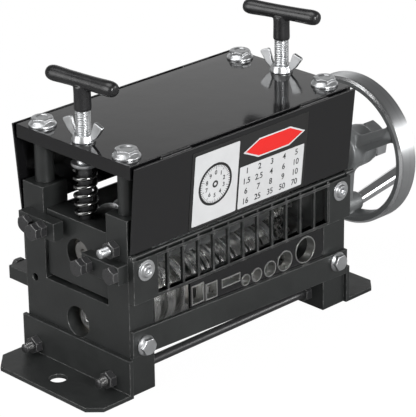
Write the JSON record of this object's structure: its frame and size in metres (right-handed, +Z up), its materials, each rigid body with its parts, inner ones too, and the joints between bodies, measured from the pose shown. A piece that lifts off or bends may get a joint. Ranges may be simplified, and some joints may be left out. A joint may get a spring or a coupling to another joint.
{
  "type": "hand crank wire stripper",
  "caption": "Bench wire stripper: a spoked handwheel turns cutting discs over grooved feed rollers between two end plates, with pressure screws, hinged covers and guide holes.",
  "frame": {"origin": "on the bench, in the middle of the two end plates and of the two mounting holes", "axes": "+X along the shafts towards the handwheel, -Y towards the wire entry, +Z up"},
  "size_m": [0.3455, 0.1255, 0.1985],
  "materials": {
    "satin_black_paint": "satin black paint on steel",
    "gloss_black_paint": "gloss black paint on sheet steel",
    "zinc_plating": "bright zinc plated steel",
    "black_oxide": "blackened steel with worn bright edges",
    "machined_steel": "turned steel",
    "blade_steel": "ground hardened steel",
    "spring_steel": "dark spring wire",
    "bush_bronze": "sintered bearing metal",
    "cast_wheel": "silver painted casting with a turned rim",
    "chrome_plating": "chrome plated steel",
    "handle_plastic": "satin black plastic",
    "label_black": "printed film"
  },
  "bodies": {
    "root": {"left_end_plate": "satin_black_paint", "right_end_plate": "satin_black_paint", "top_plate": "gloss_black_paint", "top_plate_bolts": "zinc_plating", "spacer_posts": "satin_black_paint", "left_foot": "satin_black_paint", "right_foot": "satin_black_paint", "tie_rods": "satin_black_paint", "tie_rod_nuts": "black_oxide", "front_bar": "satin_black_paint", "front_bar_bolts": "zinc_plating", "rear_guide_bar": "satin_black_paint", "rear_guard": "satin_black_paint", "frame_screws": "black_oxide", "guide_comb_frame": "satin_black_paint", "guide_comb_dividers": "satin_black_paint", "guide_comb_bolts": "zinc_plating", "latch_rod": "satin_black_paint", "hole_guide_plate": "satin_black_paint", "guide_sleeves": "machined_steel", "lower_bushes": "bush_bronze", "block_retainers": "satin_black_paint", "adjusting_screws": "black_oxide", "adjusting_lock_nuts": "black_oxide", "side_stud": "black_oxide", "front_hinge_frame_leaves": "gloss_black_paint", "front_hinge_pins": "zinc_plating", "rear_hinge_frame_leaves": "gloss_black_paint", "rear_hinge_pins": "zinc_plating"},
    "upper_carriage": {"left_bearing_block": "satin_black_paint", "right_bearing_block": "satin_black_paint", "upper_bushes": "bush_bronze", "left_pressure_spring": "spring_steel", "right_pressure_spring": "spring_steel"},
    "upper_shaft_set": {"upper_shaft": "machined_steel", "upper_shaft_keys": "machined_steel", "cutting_blades": "blade_steel", "blade_spacers": "machined_steel", "upper_gear": "machined_steel", "handwheel": "cast_wheel", "hub_washer": "machined_steel", "hub_nut": "machined_steel", "crank_stud": "machined_steel"},
    "crank_handle": {"crank_grip": "chrome_plating"},
    "lower_shaft_set": {"lower_shaft": "machined_steel", "lower_shaft_key": "machined_steel", "feed_rollers": "machined_steel", "lower_shaft_collars": "machined_steel", "lower_gear": "machined_steel"},
    "left_pressure_screw": {"left_screw_rod": "zinc_plating", "left_t_handle": "handle_plastic"},
    "right_pressure_screw": {"right_screw_rod": "zinc_plating", "right_t_handle": "handle_plastic"},
    "left_wing": {"left_wing_nut": "zinc_plating"},
    "right_wing": {"right_wing_nut": "zinc_plating"},
    "front_cover_set": {"front_cover": "gloss_black_paint", "front_hinge_cover_leaves": "gloss_black_paint", "front_label": "label_black"},
    "rear_cover_set": {"rear_cover": "gloss_black_paint", "rear_hinge_cover_leaves": "gloss_black_paint"}
  },
  "joints": [
    {"name": "block_lift", "type": "slide", "parent": "root", "child": "upper_carriage", "axis": [0, 0, 1], "range_m": [0, 0.003], "stiffness_N_per_m": 60000, "deforming": ["left_pressure_spring", "right_pressure_spring"]},
    {"name": "upper_shaft_turn", "type": "hinge", "parent": "upper_carriage", "child": "upper_shaft_set", "pos_m": [0, 0, 0.0805], "axis": [1, 0, 0], "continuous": true},
    {"name": "lower_shaft_turn", "type": "hinge", "parent": "root", "child": "lower_shaft_set", "pos_m": [0, 0, 0.0355], "axis": [1, 0, 0], "continuous": true},
    {"name": "crank_grip_turn", "type": "hinge", "parent": "upper_shaft_set", "child": "crank_handle", "pos_m": [0.1625, 0.00147, 0.03853], "axis": [0.9848, 0, 0.1736], "continuous": true},
    {"name": "left_screw_turn", "type": "hinge", "parent": "root", "child": "left_pressure_screw", "pos_m": [-0.086, 0, 0.1533], "axis": [0, 0, 1], "range_deg": [-360, 360]},
    {"name": "right_screw_turn", "type": "hinge", "parent": "root", "child": "right_pressure_screw", "pos_m": [0.086, 0, 0.1533], "axis": [0, 0, 1], "range_deg": [-360, 360]},
    {"name": "left_wing_turn", "type": "hinge", "parent": "root", "child": "left_wing", "pos_m": [-0.086, 0, 0.1533], "axis": [0, 0, 1], "range_deg": [-360, 360]},
    {"name": "right_wing_turn", "type": "hinge", "parent": "root", "child": "right_wing", "pos_m": [0.086, 0, 0.1533], "axis": [0, 0, 1], "range_deg": [-360, 360]},
    {"name": "front_cover_swing", "type": "hinge", "parent": "root", "child": "front_cover_set", "pos_m": [0, -0.0531, 0.152], "axis": [-1, 0, 0], "range_deg": [0, 100]},
    {"name": "rear_cover_swing", "type": "hinge", "parent": "root", "child": "rear_cover_set", "pos_m": [0, 0.0531, 0.152], "axis": [1, 0, 0], "range_deg": [0, 100]}
  ],
  "couplings": [
    {"joint": "lower_shaft_turn", "follows": "upper_shaft_turn", "ratio": -1}
  ]
}
